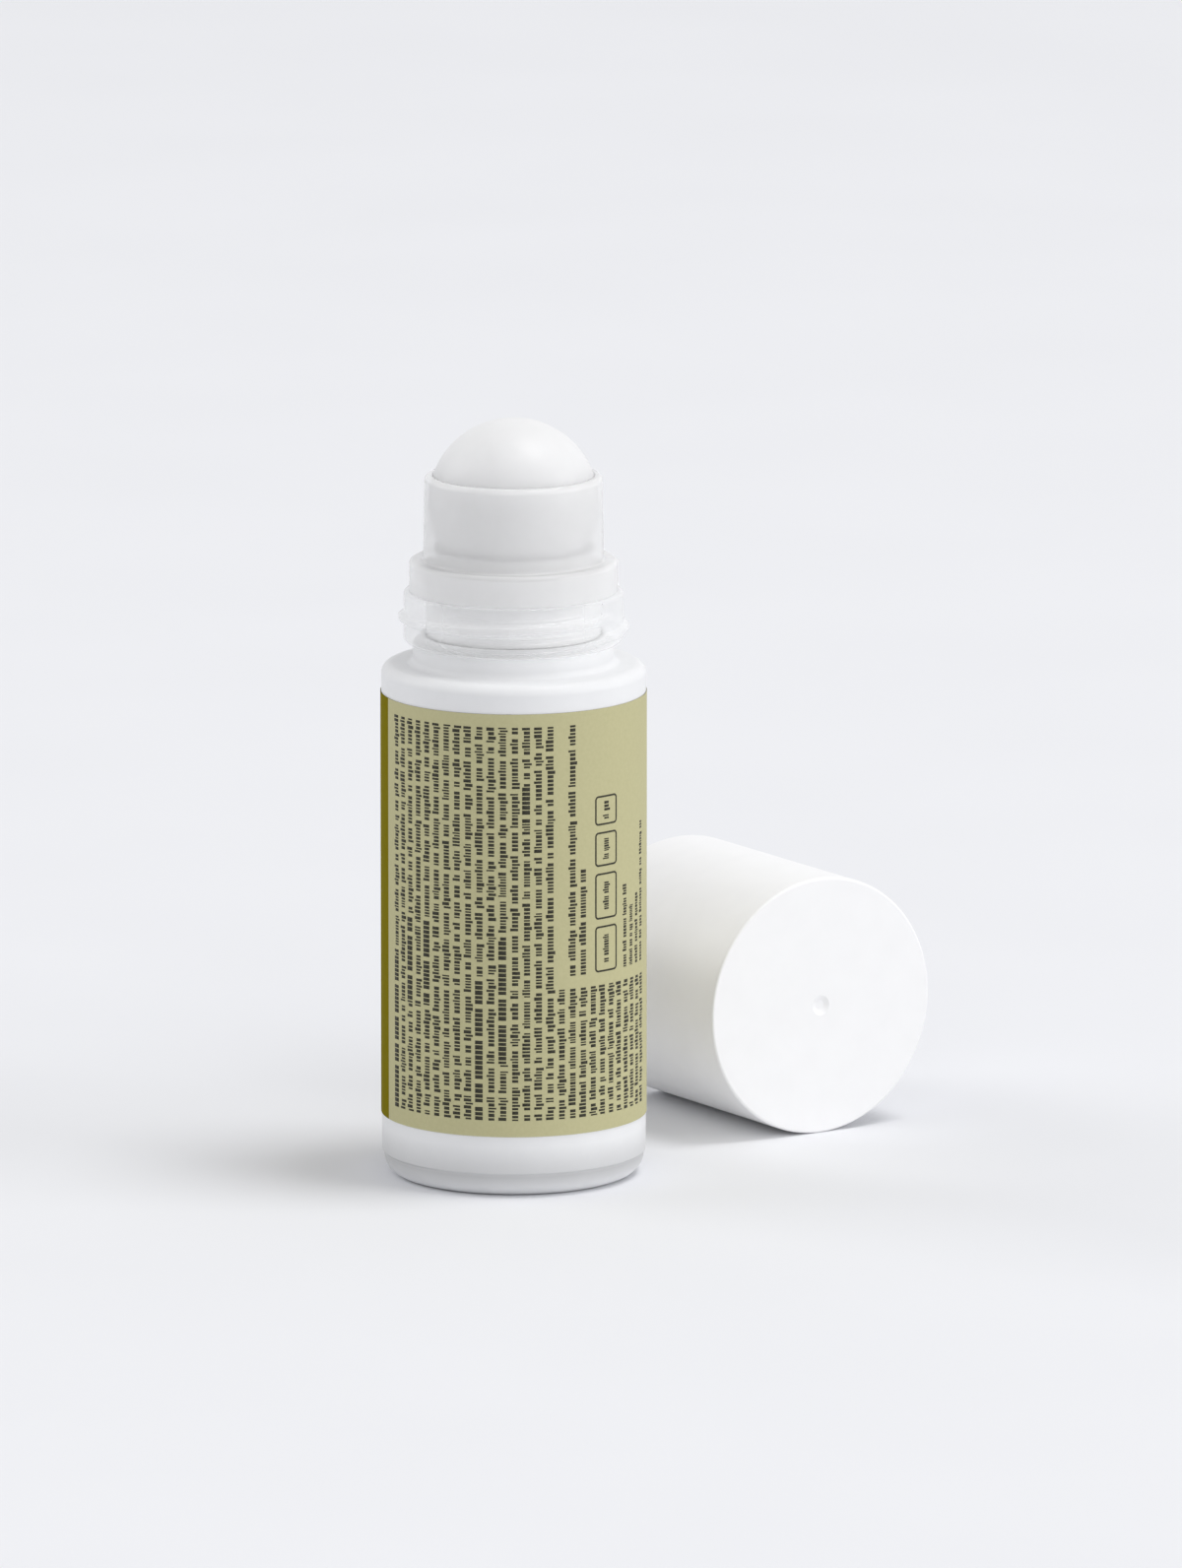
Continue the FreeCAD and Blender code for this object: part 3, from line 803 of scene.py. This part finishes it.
def frame_outline(width, length, inset):
    """The outline of a frame with round corners, set in by so much, with stops to follow the label."""
    across = width / 2 - inset
    along = length / 2 - inset
    bend = FRAME_CORNER - inset
    stops = [across * (2 * step / FRAME_STEPS - 1) for step in range(1, FRAME_STEPS)]
    return rounded(
        [(-across, -along, bend)]
        + [(stop, -along, 0) for stop in stops]
        + [(across, -along, bend), (across, along, bend)]
        + [(stop, along, 0) for stop in reversed(stops)]
        + [(-across, along, bend)]
    )


def add_frame(turn, height, width, length):
    """A plain outlined frame with round corners."""
    first = len(print_vertices)
    outer = frame_outline(width, length, 0)
    inner = frame_outline(width, length, FRAME_LINE)
    for outside, inside in zip(outer, inner):
        section = (
            (outside, SHEET_RADIUS),
            (outside, LABEL_RADIUS),
            (inside, LABEL_RADIUS),
            (inside, SHEET_RADIUS),
        )
        for point, radius in section:
            print_vertices.append(label_point(turn + point.x / LABEL_RADIUS, height + point.y, radius))
    print_faces.extend(joined_sections(first, len(outer), len(section), closed=True))


for row in range(MAIN_ROWS):
    heavy_shares = HEAVY_SHARES.get(row, NOT_HEAVY_SHARES)
    add_row(FIRST_ROW + row * ROW_STEP, PRINT_FOOT, PRINT_HEAD, heavy_shares=heavy_shares)
for row in range(LOWER_ROWS):
    add_row(FIRST_ROW + (MAIN_ROWS + row) * ROW_STEP, PRINT_FOOT, LOWER_HEAD)
add_row(UPPER_ROW, UPPER_FOOT, PRINT_HEAD)
add_row(UPPER_ROW + ROW_STEP, UPPER_FOOT, UPPER_FOOT + UPPER_LENGTH * UPPER_SHORT_SHARE)
for row, share in enumerate(SMALL_ROW_SHARES):
    add_row(SMALL_ROW + row * ROW_STEP, UPPER_FOOT, UPPER_FOOT + UPPER_LENGTH * share, scale=SMALL_SCALE)
frame_foot = UPPER_FOOT
for length in FRAME_LENGTHS:
    add_frame(FRAME_TURN, frame_foot + length / 2, FRAME_WIDTH, length)
    row_foot, row_head = [frame_foot + length * share for share in FRAME_ROW_SHARES]
    add_row(FRAME_TURN, row_foot, row_head)
    frame_foot += length + FRAME_GAP
label_print = new_object("label_print", print_vertices, print_faces, [label_ink], [0] * len(print_faces))
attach(label_print, "bottle")

# Floor
floor_material = new_material("floor", Roughness=0.9)
vary_colour(floor_material, FLOOR_GRAIN, dark=(0.779, 0.786, 0.815), light=(0.789, 0.796, 0.825), detail=1)
floor_mesh = bpy.data.meshes.new("floor")
floor_mesh.from_pydata([(FLOOR_HALF * x, FLOOR_HALF * y, 0) for x, y in FLOOR_CORNERS], [], [(0, 1, 2, 3)])
floor_mesh.materials.append(floor_material)
floor = bpy.data.objects.new("floor", floor_mesh)
bpy.context.scene.collection.objects.link(floor)

# Studio: an even fill, and a pale backdrop for what is seen, mirrored or shows through
world = bpy.data.worlds.new("studio")
bpy.context.scene.world = world
world.use_nodes = True
nodes, links = world.node_tree.nodes, world.node_tree.links


def either(first, second):
    """1 where either of two kinds of ray is 1."""
    larger = nodes.new("ShaderNodeMath")
    larger.operation = "MAXIMUM"
    for socket, kind in zip(larger.inputs, (first, second)):
        links.new(kind, socket)
    return larger.outputs["Value"]


fill = nodes["Background"]
fill.inputs["Color"].default_value = (1, 1, 1, 1)
fill.inputs["Strength"].default_value = FILL_STRENGTH
backdrop = nodes.new("ShaderNodeBackground")
backdrop.inputs["Color"].default_value = (*BACKDROP, 1)
path = nodes.new("ShaderNodeLightPath")
seen_or_glossy = either(path.outputs["Is Camera Ray"], path.outputs["Is Glossy Ray"])
shown = either(seen_or_glossy, path.outputs["Is Transmission Ray"])
mix = nodes.new("ShaderNodeMixShader")
links.new(shown, mix.inputs["Fac"])
for socket, source in zip(mix.inputs[1:], (fill, backdrop)):
    links.new(source.outputs["Background"], socket)
links.new(mix.outputs["Shader"], nodes["World Output"].inputs["Surface"])


def add_lamp(name, side, rise, width, height, level):
    """A soft lamp that lights white to level, side degrees right of the camera and rise degrees up."""
    angle = FRONT_ANGLE + math.radians(side)
    reach = LAMP_DISTANCE * math.cos(math.radians(rise))
    lift = LAMP_DISTANCE * math.sin(math.radians(rise))
    light = bpy.data.lights.new(name, "AREA")
    light.shape = "RECTANGLE"
    light.size = width
    light.size_y = height
    light.energy = level * (math.pi * LAMP_DISTANCE) ** 2
    lamp = bpy.data.objects.new(name, light)
    lamp.location = LAMP_TARGET + Vector((reach * math.cos(angle), reach * math.sin(angle), lift))
    lamp.rotation_euler = (LAMP_TARGET - lamp.location).to_track_quat("-Z", "Y").to_euler()
    bpy.context.scene.collection.objects.link(lamp)


add_lamp("top_light", side=84, rise=72, width=1.8, height=1.8, level=0.39)
add_lamp("side_light", side=73, rise=18, width=3.6, height=2.6, level=0.345)
add_lamp("front_light", side=0, rise=25, width=3.0, height=3.0, level=0.125)
add_lamp("back_light", side=-105, rise=30, width=3.0, height=3.0, level=0.235)

# Camera
camera_data = bpy.data.cameras.new("camera")
camera_data.lens = CAMERA_LENS
camera = bpy.data.objects.new("camera", camera_data)
camera.location = (
    CAMERA_DISTANCE * math.sin(CAMERA_AZIMUTH),
    -CAMERA_DISTANCE * math.cos(CAMERA_AZIMUTH),
    CAMERA_HEIGHT,
)
aim = Vector((AIM_RIGHT * math.cos(CAMERA_AZIMUTH), AIM_RIGHT * math.sin(CAMERA_AZIMUTH), AIM_HEIGHT))
camera.rotation_euler = (aim - camera.location).to_track_quat("-Z", "Y").to_euler()
bpy.context.scene.collection.objects.link(camera)
bpy.context.scene.camera = camera
bpy.context.scene.view_settings.view_transform = "Standard"
